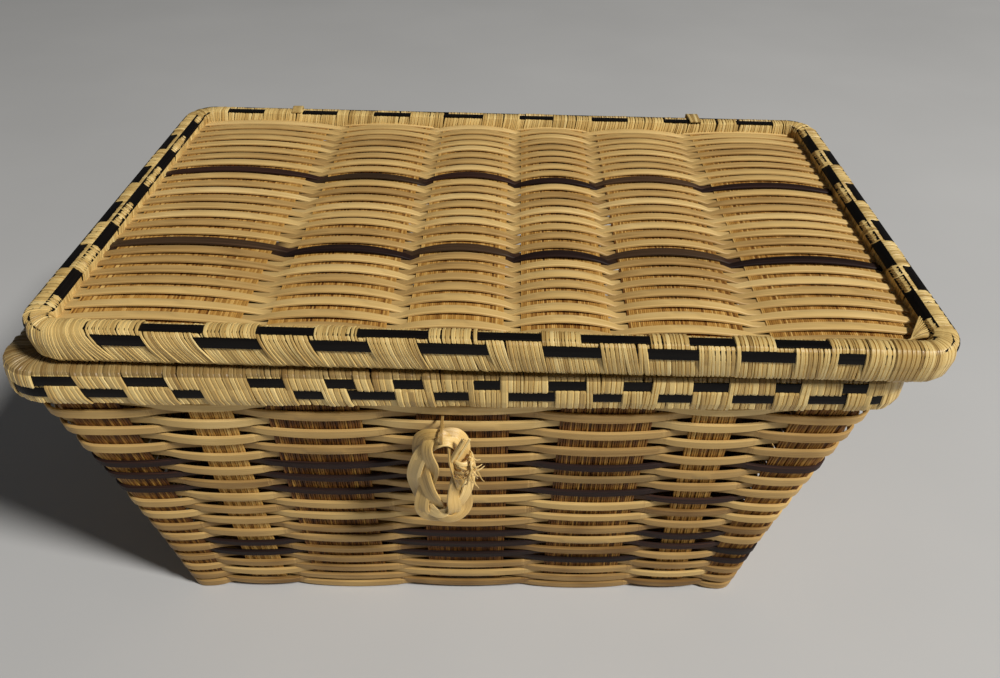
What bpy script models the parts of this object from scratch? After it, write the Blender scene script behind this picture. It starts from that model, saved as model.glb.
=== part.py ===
"""A lidded wicker basket: woven walls on flat stakes, bound rims, a tied-on lid and a braided loop.

Metres, +Z up. The origin is the middle of the underside, +X runs to the right and -Y is the front.
"""

import math

import bmesh
import bpy
from mathutils import Vector

# Fits
GAP = 0.0003  # left between pieces that touch
OVERRUN = 0.004  # how far a cutter runs past what it cuts

# Woven base and walls, over the crowns of the weave
BASE_LENGTH = 0.186
BASE_DEPTH = 0.094
BASE_THICKNESS = 0.0052
FOOT_CORNER_RADIUS = 0.006
WALL_HEIGHT = 0.0986  # from the ground to the underside of the rim
WALL_TOP_LENGTH = 0.221
WALL_TOP_DEPTH = 0.136
WALL_CORNER_RADIUS = 0.008
WEAVE_CROWN = 0.0042  # thickness of the weave where it passes a stake
WEAVE_VALLEY = 0.0026  # and where it crosses over between two stakes
FRONT_COLUMN_SHARES = (0.1, 0.125, 0.18, 0.2, 0.155, 0.14, 0.1)
SIDE_COLUMN_SHARES = (0.22, 0.28, 0.28, 0.22)
PILLOW_SHARES = (0.0, 0.25, 0.5, 0.75)
LID_PILLOW_SHARES = (0.0, 0.125, 0.25, 0.375, 0.5, 0.625, 0.75, 0.875)
STAKE_PLACE_SHARES = (-0.5, -0.25, 0.0, 0.25, 0.5)  # across a lid stake
RISE_SHARES = (0.5, 1.0)  # along the run in which the lid's pillows rise

# Stakes of split cane
STAKE_THICKNESS = 0.0012
STAKE_WIDE = 0.024
STAKE_NARROW = 0.0115
SIDE_STAKE = 0.016
LID_STAKE = 0.018
STAKE_FOOT_SHARE = 0.8
CROSSWISE_STAKE_LEVEL = 0.0015  # middle of the stake above the ground, inside the base
LENGTHWISE_STAKE_LEVEL = 0.0036

# Rim of the body
RIM_HEIGHT = 0.0123
RIM_OVERHANG = 0.003  # from the wall out to the rim's face
INNER_HOOP_THICKNESS = 0.001
BINDING_THICKNESS = 0.0012
RIM_ROUNDING = 0.0012
HOOP_ROUNDING = 0.0003
STRIP_WIDTH = 0.0027
STRIP_THICKNESS = 0.0005
LOWER_STRIP_LIFT = 0.0053  # middle of the strip above the rim's underside
UPPER_STRIP_LIFT = 0.0093

# Lid
LID_PROUD = 0.0013  # how far the lid's rim stands past the body's rim, front and back
LID_RIM_HEIGHT = 0.0108
LID_RIM_WIDTH = 0.007
LID_CORNER_RADIUS = 0.0105
LID_HOOP_WIDTH = 0.0024
LID_PANEL_LIFT = 0.0062  # middle of the panel above the lid's underside
LID_PILLOW = 0.0017  # how far each column of the panel rises in its middle
LID_PILLOW_RUN = 0.015  # over which it rises from the rim
LID_STRIP_LIFT = 0.0079
LID_STRIP_INSET = 0.0029  # middle of the top strip from the rim's inner edge
LID_COLUMN_SHARES = (0.235, 0.16, 0.13, 0.12, 0.155, 0.2)
LID_SHIFT_RIGHT = 0.0094  # the lid sits askew on its loose ties
LID_SHIFT_BACK = -0.0006
LID_TURN = math.radians(-1.5)

# Hinge ties
HINGE_SETBACK = 0.0045  # axis behind the back of the body's rim
TIE_WIDTH = 0.0026
TIE_THICKNESS = 0.0008
TIE_REACH = 0.006  # how far a tie runs in over the lid's rim
TIE_SPREAD = 0.072  # each tie to the lid's middle

# Closing loop
LOOP_HEIGHT = 0.035
LOOP_WIDTH = 0.0178
LOOP_CORD = 0.0062
LOOP_DROP = 0.0065  # axis below the underside of the body's rim
LOOP_SHIFT = -0.0042
LOOP_STANDOFF = 0.006  # axis in front of the wall
KNOT_THICKNESS = 0.0014
KNOT_LENGTH = 0.0065
KNOT_DROP = 0.0085  # middle of the knot below the axis
STAPLE_WIRE = 0.0013
FIBRE_CLEARANCE = 0.0004  # loose fit of the staple round the loop

# Facets
CORNER_STEPS = 4
CORD_SIDES = 10

# Levels that the sizes above give
WALL_FOOT = BASE_THICKNESS + GAP
RIM_TOP = WALL_HEIGHT + RIM_HEIGHT
WALL_TOP = RIM_TOP - BINDING_THICKNESS - GAP
RIM_WIDTH = RIM_OVERHANG + WEAVE_CROWN + INNER_HOOP_THICKNESS + 2 * GAP + BINDING_THICKNESS
RIM_LENGTH = WALL_TOP_LENGTH + 2 * RIM_OVERHANG
RIM_DEPTH = WALL_TOP_DEPTH + 2 * RIM_OVERHANG
LID_LENGTH = RIM_LENGTH
LID_DEPTH = RIM_DEPTH + 2 * LID_PROUD
LID_BOTTOM = RIM_TOP + GAP
LID_TOP = LID_BOTTOM + LID_RIM_HEIGHT
PANEL_INSET = BINDING_THICKNESS + 3 * GAP + LID_HOOP_WIDTH  # edge of the panel inside the rim
PANEL_LENGTH = LID_LENGTH - 2 * PANEL_INSET
PANEL_DEPTH = LID_DEPTH - 2 * PANEL_INSET
PANEL_BORDER = LID_RIM_WIDTH + GAP - PANEL_INSET  # flat part of the panel in the rim
HINGE_Y = RIM_DEPTH / 2 + HINGE_SETBACK
HINGE_Z = RIM_TOP + GAP / 2

# Materials: colour, roughness
CANE = ("light_cane", (0.62, 0.44, 0.22), 0.5)
SPLINT = ("amber_splint", (0.38, 0.2, 0.06), 0.55)
ROD = ("peeled_rod", (0.5, 0.36, 0.2), 0.6)
RAFFIA = ("pale_raffia", (0.76, 0.62, 0.36), 0.5)
BLACK = ("black_strip", (0.02, 0.015, 0.012), 0.35)
STRAW = ("golden_straw", (0.6, 0.42, 0.16), 0.5)


def clear_scene():
    for thing in list(bpy.data.objects):
        bpy.data.objects.remove(thing, do_unlink=True)


def finish(kind):
    """The material of one kind of fibre, made once."""
    name, colour, roughness = kind
    material = bpy.data.materials.get(name)
    if material is None:
        material = bpy.data.materials.new(name)
        material.use_nodes = True
        shader = material.node_tree.nodes["Principled BSDF"]
        shader.inputs["Base Color"].default_value = (*colour, 1.0)
        shader.inputs["Roughness"].default_value = roughness
        shader.inputs["Metallic"].default_value = 0.0
    return material


def add_object(name, bm, kind, parent=None, smooth=False):
    mesh = bpy.data.meshes.new(name)
    bm.to_mesh(mesh)
    bm.free()
    mesh.materials.append(finish(kind))
    if smooth:
        mesh.shade_smooth()
        mesh.set_sharp_from_angle(angle=math.radians(40))
    thing = bpy.data.objects.new(name, mesh)
    bpy.context.collection.objects.link(thing)
    thing.parent = parent
    return thing


def add_empty(name, location, parent=None, turn=0.0):
    empty = bpy.data.objects.new(name, None)
    empty.location = location
    empty.rotation_euler = (0, 0, turn)
    bpy.context.collection.objects.link(empty)
    empty.parent = parent
    return empty


def add_cutter(name, bm, parent=None):
    cutter = add_object(name, bm, CANE, parent)
    cutter.hide_render = True
    cutter.display_type = "WIRE"
    return cutter


def boolean(thing, cutter, operation="DIFFERENCE"):
    modifier = thing.modifiers.new(cutter.name, "BOOLEAN")
    modifier.operation = operation
    modifier.object = cutter


def loft(bm, sections):
    """Adds a solid through closed sections, each with as many points as the first."""
    place = bm.verts.layers.int.get("place") or bm.verts.layers.int.new("place")
    corners = [bm.verts.new(point) for point in sections[0]]
    for index, vert in enumerate(corners):
        vert[place] = index
    foot = face = bm.faces.new(corners)
    for section in sections[1:]:
        passed = face
        for item in bmesh.ops.extrude_face_region(bm, geom=[face])["geom"]:
            if isinstance(item, bmesh.types.BMVert):
                item.co = section[item[place]]
            elif isinstance(item, bmesh.types.BMFace):
                face = item
        if passed is not foot and passed.is_valid:
            bm.faces.remove(passed)
    bmesh.ops.recalc_face_normals(bm, faces=bm.faces)


def ring(length, depth, radius, section):
    """A closed section of (inset, height) points, carried once round a rectangle with round corners."""
    bm = bmesh.new()
    start = (-length / 2 + radius, -depth / 2)
    corners = [bm.verts.new((start[0], start[1] + inset, height)) for inset, height in section]
    line = [bm.edges.new((corners[i - 1], corners[i])) for i in range(len(corners))]
    across = length / 2 - radius
    along = depth / 2 - radius
    straights = ((2 * across, 0), (0, 2 * along), (-2 * across, 0), (0, -2 * along))
    centres = ((across, -along), (across, along), (-across, along), (-across, -along))
    for move, centre in zip(straights, centres):
        grown = bmesh.ops.extrude_edge_only(bm, edges=line)["geom"]
        moved = [item for item in grown if isinstance(item, bmesh.types.BMVert)]
        bmesh.ops.translate(bm, verts=moved, vec=(*move, 0))
        line = [item for item in grown if isinstance(item, bmesh.types.BMEdge)]
        swung = bmesh.ops.spin(
            bm, geom=moved + line, cent=(*centre, 0), axis=(0, 0, 1), angle=math.pi / 2, steps=CORNER_STEPS
        )["geom_last"]
        line = [item for item in swung if isinstance(item, bmesh.types.BMEdge)]
    bmesh.ops.remove_doubles(bm, verts=bm.verts, dist=GAP / 30)
    bmesh.ops.recalc_face_normals(bm, faces=bm.faces)
    return bm


def round_rectangle(length, depth, radius):
    """The plan of a rectangle with round corners."""
    points = []
    across = length / 2 - radius
    along = depth / 2 - radius
    centres = ((across, along), (-across, along), (-across, -along), (across, -along))
    for quarter, (x, y) in enumerate(centres):
        for step in range(CORNER_STEPS + 1):
            angle = math.pi / 2 * (quarter + step / CORNER_STEPS)
            points.append((x + radius * math.cos(angle), y + radius * math.sin(angle)))
    return points


def turned(point, quarter):
    """A point (x, y, z) after so many quarter turns about Z."""
    x, y, z = point
    for _ in range(quarter % 4):
        x, y = -y, x
    return Vector((x, y, z))


def wall_levels():
    """(height, length, depth, corner radius) of the walls' outline at the foot, under the rim and in it."""
    return (
        (WALL_FOOT, BASE_LENGTH, BASE_DEPTH, FOOT_CORNER_RADIUS),
        (WALL_HEIGHT, WALL_TOP_LENGTH, WALL_TOP_DEPTH, WALL_CORNER_RADIUS),
        (WALL_TOP, WALL_TOP_LENGTH, WALL_TOP_DEPTH, WALL_CORNER_RADIUS),
    )


def pillows(shares, run, keep_ends, part_shares=PILLOW_SHARES):
    """(place, fall) along a woven face: the fall is 0 on each stake's crown and deepest between stakes."""
    deepest = (WEAVE_CROWN - WEAVE_VALLEY) / 2
    stations = []
    start = -run / 2
    for column, share in enumerate(shares):
        for part_share in part_shares:
            at_first_end = column == 0 and part_share < 0.5
            at_last_end = column == len(shares) - 1 and part_share > 0.5
            if keep_ends or not (at_first_end or at_last_end):
                fall = deepest * (1 - math.sin(math.pi * part_share))
                stations.append((start + run * share * part_share, fall))
        start += run * share
    if keep_ends:
        stations.append((run / 2, deepest))
    return stations


def corner_arc(centre, radius, start, end):
    """Three points of a wall's corner, drawn back from the mitre by half a gap."""
    mitre = math.asin(GAP / 2 / radius)
    first = start + mitre if start < end else start - mitre
    angles = (first, (start + end) / 2, end)
    return [(centre[0] + radius * math.cos(a), centre[1] + radius * math.sin(a)) for a in angles]


def wall_section(run, reach, radius, height, shares):
    """One wall in plan, facing -Y: its outer line from mitre to mitre, then its inner line back."""
    faces = []
    stations = pillows(shares, run, False)
    down, left, right = math.radians(270), math.radians(225), math.radians(315)
    left_centre = (-run / 2 + radius, -reach / 2 + radius)
    right_centre = (run / 2 - radius, -reach / 2 + radius)
    for inset, fall_sign in ((0, 1), (WEAVE_CROWN, -1)):
        face = corner_arc(left_centre, radius - inset, left, down)
        face += [(place, -reach / 2 + inset + fall_sign * fall) for place, fall in stations]
        face += reversed(corner_arc(right_centre, radius - inset, right, down))
        faces.append(face)
    outline = faces[0] + faces[1][::-1]
    return [(x, y, height) for x, y in outline]


def stake_sections(centre_share, width, level, along_side, quarter, slot=False):
    """Sections of a stake that comes down one wall, crosses the base and climbs the wall facing it."""
    room = 2 * GAP if slot else 0
    thick = STAKE_THICKNESS + room
    legs = []
    for height, length, depth, _ in reversed(wall_levels()):
        run, reach = (depth, length) if along_side else (length, depth)
        share = STAKE_FOOT_SHARE if height == WALL_FOOT else 1.0
        legs.append((run * (centre_share - 0.5), reach / 2 - WEAVE_CROWN / 2, height, width * share + room))
    across, reach, _, foot_width = legs[-1]
    legs.append((across, reach, level, foot_width))
    if slot:
        top = legs[0]
        legs[0] = (top[0], top[1], top[2] + OVERRUN, top[3])
    sections = []
    for side, order in ((-1, legs), (1, legs[::-1])):
        for x, y, z, wide in order:
            rise = thick / 2 if z == level else 0
            inward = Vector((0, -side * thick / 2, rise))
            middle = Vector((x, side * y, z))
            half = Vector((wide / 2, 0, 0))
            lower = (middle - half - inward, middle + half - inward)
            upper = (middle + half + inward, middle - half + inward)
            sections.append([turned(corner, quarter) for corner in (*lower, *upper)])
    return sections


def column_centres(shares):
    centres = []
    start = 0.0
    for share in shares:
        centres.append(start + share / 2)
        start += share
    return centres


def crosswise_stakes():
    widths = (STAKE_NARROW, STAKE_NARROW, STAKE_WIDE, STAKE_WIDE, STAKE_WIDE, STAKE_NARROW, STAKE_NARROW)
    return [(centre, width, CROSSWISE_STAKE_LEVEL, False, 0)
            for centre, width in zip(column_centres(FRONT_COLUMN_SHARES), widths)]


def lengthwise_stakes():
    return [(centre, SIDE_STAKE, LENGTHWISE_STAKE_LEVEL, True, 1)
            for centre in column_centres(SIDE_COLUMN_SHARES)]


def build_stakes(name, stakes):
    for number, stake in enumerate(stakes, 1):
        bm = bmesh.new()
        loft(bm, stake_sections(*stake))
        add_object(f"{name}_{number}", bm, SPLINT)


def stake_slots(name, stakes):
    bm = bmesh.new()
    for stake in stakes:
        loft(bm, stake_sections(*stake, slot=True))
    return add_cutter(name, bm)


def build_base(slots):
    bm = bmesh.new()
    outline = round_rectangle(BASE_LENGTH, BASE_DEPTH, FOOT_CORNER_RADIUS)
    loft(bm, [[(x, y, height) for x, y in outline] for height in (0, BASE_THICKNESS)])
    base = add_object("base_weave", bm, CANE)
    for slot in slots:
        boolean(base, slot)


def build_walls(crosswise_slots, lengthwise_slots):
    sides = ("front_wall_weave", "right_wall_weave", "back_wall_weave", "left_wall_weave")
    for quarter, name in enumerate(sides):
        on_side = quarter % 2 == 1
        shares = SIDE_COLUMN_SHARES if on_side else FRONT_COLUMN_SHARES
        if quarter == 2:
            shares = shares[::-1]
        sections = []
        for height, length, depth, radius in wall_levels():
            run, reach = (depth, length) if on_side else (length, depth)
            section = wall_section(run, reach, radius, height, shares)
            sections.append([turned(point, quarter) for point in section])
        bm = bmesh.new()
        loft(bm, sections)
        wall = add_object(name, bm, CANE)
        boolean(wall, lengthwise_slots if on_side else crosswise_slots)


def bar_section(inset, end_inset, low, high, chamfer):
    """A rectangle with its corners cut off, as (inset, height) points."""
    return (
        (inset + chamfer, low),
        (end_inset - chamfer, low),
        (end_inset, low + chamfer),
        (end_inset, high - chamfer),
        (end_inset - chamfer, high),
        (inset + chamfer, high),
        (inset, high - chamfer),
        (inset, low + chamfer),
    )


def strip_section(inset, height, across, up):
    """A flat strip that starts at this inset and height and is so wide and so high."""
    return ((inset, height), (inset + across, height), (inset + across, height + up), (inset, height + up))


def face_groove(lift, bottom):
    """The groove round a rim's outer face for a strip whose middle is at this lift, from the top down."""
    half = STRIP_WIDTH / 2 + GAP
    deep = STRIP_THICKNESS + GAP
    middle = bottom + lift
    return ((0, middle + half), (deep, middle + half), (deep, middle - half), (0, middle - half))


def build_body_rim():
    low, high = WALL_HEIGHT, RIM_TOP
    slot_start = RIM_OVERHANG - GAP
    slot_end = RIM_OVERHANG + WEAVE_CROWN + GAP
    skin = BINDING_THICKNESS
    radius = WALL_CORNER_RADIUS + RIM_OVERHANG
    size = (RIM_LENGTH, RIM_DEPTH, radius)
    binding = (
        (slot_start, low),
        (slot_start, low + skin),
        (skin, low + skin),
        (skin, high - skin),
        (RIM_WIDTH - skin, high - skin),
        (RIM_WIDTH - skin, low + skin),
        (slot_end, low + skin),
        (slot_end, low),
        (RIM_WIDTH - RIM_ROUNDING, low),
        (RIM_WIDTH, low + RIM_ROUNDING),
        (RIM_WIDTH, high - RIM_ROUNDING),
        (RIM_WIDTH - RIM_ROUNDING, high),
        (RIM_ROUNDING, high),
        (0, high - RIM_ROUNDING),
        *face_groove(UPPER_STRIP_LIFT, low),
        *face_groove(LOWER_STRIP_LIFT, low),
        (0, low + RIM_ROUNDING),
        (RIM_ROUNDING, low),
    )
    add_object("rim_binding", ring(*size, binding), RAFFIA)
    clear_low, clear_high = low + skin + GAP, high - skin - GAP
    outer = bar_section(skin + GAP, slot_start, clear_low, clear_high, HOOP_ROUNDING)
    add_object("rim_outer_hoop", ring(*size, outer), ROD)
    inner = strip_section(slot_end, clear_low, INNER_HOOP_THICKNESS, clear_high - clear_low)
    add_object("rim_inner_hoop", ring(*size, inner), ROD)
    for name, lift in (("lower", LOWER_STRIP_LIFT), ("upper", UPPER_STRIP_LIFT)):
        strip = strip_section(0, low + lift - STRIP_WIDTH / 2, STRIP_THICKNESS, STRIP_WIDTH)
        add_object(f"rim_black_strip_{name}", ring(*size, strip), BLACK)


def build_lid_rim(lid):
    """The lid's rim, whose inner side takes the edge of the panel; heights are from the lid's underside."""
    skin = BINDING_THICKNESS
    top = LID_RIM_HEIGHT
    hoop_end = skin + 2 * GAP + LID_HOOP_WIDTH
    panel_low = LID_PANEL_LIFT - WEAVE_CROWN / 2 - GAP
    panel_high = LID_PANEL_LIFT + WEAVE_CROWN / 2 + GAP
    strip_middle = LID_RIM_WIDTH - LID_STRIP_INSET
    half = STRIP_WIDTH / 2
    deep = STRIP_THICKNESS + GAP
    binding = (
        (LID_RIM_WIDTH, panel_low),
        (hoop_end, panel_low),
        (hoop_end, skin),
        (skin, skin),
        (skin, top - skin),
        (hoop_end, top - skin),
        (hoop_end, panel_high),
        (LID_RIM_WIDTH, panel_high),
        (LID_RIM_WIDTH, top - RIM_ROUNDING),
        (LID_RIM_WIDTH - RIM_ROUNDING, top),
        (strip_middle + half + GAP, top),
        (strip_middle + half + GAP, top - deep),
        (strip_middle - half - GAP, top - deep),
        (strip_middle - half - GAP, top),
        (RIM_ROUNDING, top),
        (0, top - RIM_ROUNDING),
        *face_groove(LID_STRIP_LIFT, 0),
        (0, RIM_ROUNDING),
        (RIM_ROUNDING, 0),
        (LID_RIM_WIDTH - RIM_ROUNDING, 0),
        (LID_RIM_WIDTH, RIM_ROUNDING),
    )
    size = (LID_LENGTH, LID_DEPTH, LID_CORNER_RADIUS)
    add_object("lid_binding", ring(*size, binding), RAFFIA, lid)
    hoop = bar_section(skin + GAP, hoop_end - GAP, skin + GAP, top - skin - GAP, HOOP_ROUNDING)
    add_object("lid_hoop", ring(*size, hoop), ROD, lid)
    outer = strip_section(0, LID_STRIP_LIFT - half, STRIP_THICKNESS, STRIP_WIDTH)
    add_object("lid_black_strip_outer", ring(*size, outer), BLACK, lid)
    inner = strip_section(strip_middle - half, top - STRIP_THICKNESS, STRIP_WIDTH, STRIP_THICKNESS)
    add_object("lid_black_strip_inner", ring(*size, inner), BLACK, lid)


def lid_rise(x, y):
    """How far the panel rises above its level; each column is pillowed, its border in the rim flat."""
    start = -PANEL_LENGTH / 2
    across = 0.0
    for share in LID_COLUMN_SHARES:
        end = start + PANEL_LENGTH * share
        low = max(start, PANEL_BORDER - PANEL_LENGTH / 2)
        high = min(end, PANEL_LENGTH / 2 - PANEL_BORDER)
        if low < x < high:
            across = math.sin(math.pi * (x - low) / (high - low))
        start = end
    from_rim = (PANEL_DEPTH / 2 - PANEL_BORDER - abs(y)) / LID_PILLOW_RUN
    return LID_PILLOW * across * math.sin(math.pi / 2 * min(max(from_rim, 0), 1))


def panel_stations():
    """Places from front to back where the panel's sections stand."""
    half = PANEL_DEPTH / 2
    flat = half - PANEL_BORDER
    risen = [flat - LID_PILLOW_RUN * share for share in RISE_SHARES]
    front = [-half, -flat, *(-place for place in risen)]
    return front + [-place for place in reversed(front)]


def build_lid_panel(lid):
    """The woven panel with a slot for each stake, trimmed to the round corners inside the rim."""
    stations = pillows(LID_COLUMN_SHARES, PANEL_LENGTH, True, LID_PILLOW_SHARES)
    crown = WEAVE_CROWN / 2
    sections = []
    for y in panel_stations():
        rises = [(place, LID_PANEL_LIFT + lid_rise(place, y), crown - fall) for place, fall in stations]
        top = [(x, y, middle + half) for x, middle, half in rises]
        bottom = [(x, y, middle - half) for x, middle, half in reversed(rises)]
        sections.append(top + bottom)
    bm = bmesh.new()
    loft(bm, sections)
    panel = add_object("lid_weave", bm, CANE, lid)
    slots = bmesh.new()
    for number, centre in enumerate(column_centres(LID_COLUMN_SHARES), 1):
        middle = PANEL_LENGTH * (centre - 0.5)
        stake = bmesh.new()
        loft(stake, lid_stake_sections(middle, LID_STAKE, STAKE_THICKNESS, 0))
        add_object(f"lid_stake_{number}", stake, SPLINT, lid)
        loft(slots, lid_stake_sections(middle, LID_STAKE + 2 * GAP, STAKE_THICKNESS + 2 * GAP, OVERRUN))
    boolean(panel, add_cutter("lid_stake_slots", slots, lid))
    outline = round_rectangle(PANEL_LENGTH, PANEL_DEPTH, LID_CORNER_RADIUS - PANEL_INSET)
    trim = bmesh.new()
    loft(trim, [[(x, y, z) for x, y in outline] for z in (-OVERRUN, LID_RIM_HEIGHT + OVERRUN)])
    boolean(panel, add_cutter("lid_panel_trim", trim, lid), "INTERSECT")


def lid_stake_sections(middle, width, thickness, overrun):
    """Sections of a stake that follows the pillow of its column, run past both ends by so much."""
    sections = []
    places = [middle + width * share for share in STAKE_PLACE_SHARES]
    for y in panel_stations():
        end = y + math.copysign(overrun, y) if abs(y) == PANEL_DEPTH / 2 else y
        levels = [LID_PANEL_LIFT + lid_rise(x, y) for x in places]
        low = [(x, end, level - thickness / 2) for x, level in zip(places, levels)]
        high = [(x, end, level + thickness / 2) for x, level in zip(places, levels)]
        sections.append(low + high[::-1])
    return sections


def build_tie(name, spread):
    """A strand laid over the lid's rim, down behind both rims and in under the body's rim."""
    x = LID_SHIFT_RIGHT + spread * math.cos(LID_TURN)
    lid_back = LID_SHIFT_BACK + LID_DEPTH / 2 * math.cos(LID_TURN)
    lid_back += spread * math.sin(LID_TURN) + (TIE_WIDTH / 2) * abs(math.sin(LID_TURN))
    back = max(lid_back, RIM_DEPTH / 2) + GAP
    over = LID_TOP + GAP
    under = WALL_HEIGHT - GAP
    tucked = WALL_TOP_DEPTH / 2 + GAP
    cut = RIM_ROUNDING
    inner = (
        (lid_back - TIE_REACH, over),
        (back - cut, over),
        (back, over - cut),
        (back, under + cut),
        (back - cut, under),
        (tucked, under),
    )
    lean = TIE_THICKNESS * math.tan(math.pi / 8)
    outer = (
        (lid_back - TIE_REACH, over + TIE_THICKNESS),
        (back - cut + lean, over + TIE_THICKNESS),
        (back + TIE_THICKNESS, over - cut + lean),
        (back + TIE_THICKNESS, under + cut - lean),
        (back - cut + lean, under - TIE_THICKNESS),
        (tucked, under - TIE_THICKNESS),
    )
    bm = bmesh.new()
    outline = inner + outer[::-1]
    loft(bm, [[(side, y, z) for y, z in outline] for side in (x - TIE_WIDTH / 2, x + TIE_WIDTH / 2)])
    add_object(name, bm, RAFFIA)


def wall_face(height):
    """How far in front of the middle the front wall's crowns are at this height."""
    share = (height - WALL_FOOT) / (WALL_HEIGHT - WALL_FOOT)
    return (BASE_DEPTH + (WALL_TOP_DEPTH - BASE_DEPTH) * share) / 2


def circle(radius, sides):
    """(inset, height) points of a circle about the middle of a cord that starts at inset 0."""
    angles = [2 * math.pi * step / sides for step in range(sides)]
    return [(radius + radius * math.cos(a), radius * math.sin(a)) for a in angles]


def build_loop(axis):
    """The braided ring hangs from the axis, which runs through the cord at its top."""
    section = circle(LOOP_CORD / 2, CORD_SIDES)
    cord = ring(LOOP_WIDTH, LOOP_HEIGHT, LOOP_WIDTH / 2 - GAP, section)
    loop = add_object("closing_loop", cord, STRAW, axis, smooth=True)
    loop.location = (0, 0, LOOP_CORD / 2 - LOOP_HEIGHT / 2)
    loop.rotation_euler = (math.pi / 2, 0, 0)
    bore = LOOP_CORD / 2 + GAP
    wrap = bore + KNOT_THICKNESS
    bm = bmesh.new()
    start = bm.verts.new((bore, 0, -KNOT_LENGTH / 2))
    points = [start]
    for radius, height in ((wrap - GAP, -KNOT_LENGTH / 2), (wrap, 0), (wrap - GAP, KNOT_LENGTH / 2),
                           (bore, KNOT_LENGTH / 2)):
        points.append(bm.verts.new((radius, 0, height)))
    profile = [bm.edges.new((points[i - 1], points[i])) for i in range(len(points))]
    around = {"cent": (0, 0, 0), "axis": (0, 0, 1), "angle": 2 * math.pi, "steps": CORD_SIDES}
    bmesh.ops.spin(bm, geom=points + profile, **around, use_merge=True)
    bmesh.ops.remove_doubles(bm, verts=bm.verts, dist=GAP / 30)
    bmesh.ops.recalc_face_normals(bm, faces=bm.faces)
    knot = add_object("loop_knot", bm, STRAW, axis, smooth=True)
    knot.location = (LOOP_WIDTH / 2 - LOOP_CORD / 2, 0, -KNOT_DROP)


def build_staple(axis_y, axis_z):
    """A strand out of the wall, round the top of the loop and back into the wall."""
    wire = STAPLE_WIRE / 2
    radius = LOOP_CORD / 2 + FIBRE_CLEARANCE + wire
    points = []
    for side in (1, -1):
        height = axis_z + side * radius
        wall = -wall_face(height - wire) - GAP - wire * (1 + side) / 2
        points.append((wall, height))
    arc = []
    for step in range(CORD_SIDES + 1):
        angle = math.pi / 2 + math.pi * step / CORD_SIDES
        arc.append((axis_y + radius * math.cos(angle), axis_z + radius * math.sin(angle)))
    route = [points[0], *arc, points[1]]
    curve = bpy.data.curves.new("loop_staple", "CURVE")
    curve.dimensions = "3D"
    curve.bevel_depth = wire
    curve.bevel_resolution = 1
    curve.use_fill_caps = True
    spline = curve.splines.new("POLY")
    spline.points.add(len(route) - 1)
    for point, (y, z) in zip(spline.points, route):
        point.co = (LOOP_SHIFT, y, z, 1)
    curve.materials.append(finish(STRAW))
    staple = bpy.data.objects.new("loop_staple", curve)
    bpy.context.collection.objects.link(staple)


def main():
    clear_scene()
    crosswise, lengthwise = crosswise_stakes(), lengthwise_stakes()
    build_stakes("crosswise_stake", crosswise)
    build_stakes("lengthwise_stake", lengthwise)
    crosswise_slots = stake_slots("crosswise_slots", crosswise)
    lengthwise_slots = stake_slots("lengthwise_slots", lengthwise)
    build_base((crosswise_slots, lengthwise_slots))
    build_walls(crosswise_slots, lengthwise_slots)
    build_body_rim()
    hinge = add_empty("lid_hinge_axis", (0, HINGE_Y, HINGE_Z))
    lid_place = (LID_SHIFT_RIGHT, LID_SHIFT_BACK - HINGE_Y, LID_BOTTOM - HINGE_Z)
    lid = add_empty("lid_middle", lid_place, hinge, LID_TURN)
    build_lid_panel(lid)
    build_lid_rim(lid)
    build_tie("hinge_tie_left", -TIE_SPREAD)
    build_tie("hinge_tie_right", TIE_SPREAD)
    axis_z = WALL_HEIGHT - LOOP_DROP
    axis_y = -wall_face(axis_z) - LOOP_STANDOFF
    loop_axis = add_empty("loop_axis", (LOOP_SHIFT, axis_y, axis_z))
    build_loop(loop_axis)
    build_staple(axis_y, axis_z)


main()
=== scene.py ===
"""Looks of a lidded wicker basket: woven canes over flat stakes, rims bound with raffia, a braided loop."""

import math

import bmesh
import bpy
import numpy as np
from mathutils import Matrix, Vector


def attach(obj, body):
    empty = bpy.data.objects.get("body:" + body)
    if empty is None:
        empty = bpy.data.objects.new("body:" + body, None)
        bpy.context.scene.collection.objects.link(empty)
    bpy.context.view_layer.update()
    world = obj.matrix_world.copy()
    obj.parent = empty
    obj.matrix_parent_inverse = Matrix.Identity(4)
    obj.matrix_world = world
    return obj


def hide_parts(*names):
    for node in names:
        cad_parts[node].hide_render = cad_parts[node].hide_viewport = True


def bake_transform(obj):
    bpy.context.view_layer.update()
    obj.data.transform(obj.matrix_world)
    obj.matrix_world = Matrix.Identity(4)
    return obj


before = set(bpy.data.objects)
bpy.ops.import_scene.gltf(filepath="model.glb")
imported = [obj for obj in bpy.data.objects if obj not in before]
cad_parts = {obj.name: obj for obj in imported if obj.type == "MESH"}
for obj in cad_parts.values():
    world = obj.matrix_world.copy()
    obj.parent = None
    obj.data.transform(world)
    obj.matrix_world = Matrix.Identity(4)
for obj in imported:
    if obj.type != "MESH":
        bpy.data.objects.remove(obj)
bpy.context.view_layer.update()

MM = 0.001
EDGE_ANGLE = math.radians(34)  # sharper edges of a strand stay crisp
WELD = 0.002 * MM  # points of a strand that lie closer than this become one

# Body, over the crowns of the weave
BASE_LENGTH = 186 * MM
BASE_DEPTH = 94 * MM
WALL_FOOT = 5.5 * MM
WALL_HEIGHT = 98.6 * MM
WALL_TOP = 109.4 * MM  # the stakes end here, inside the rim
WALL_TOP_LENGTH = 221 * MM
WALL_TOP_DEPTH = 136 * MM
FOOT_CORNER = 6 * MM
TOP_CORNER = 8 * MM
END_WALL_BOW = 1.8 * MM  # how far the end walls bend in halfway up
WEAVE_MIDDLE = 1.6 * MM  # middle of the weave behind its crowns
# Where the canes cross: shares of the base's length, straight up, and of the depth, wider towards the top
FRONT_COLUMNS = (0.078, 0.134, 0.184, 0.219, 0.183, 0.132, 0.07)
SIDE_COLUMNS = (0.22, 0.28, 0.28, 0.22)

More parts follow.
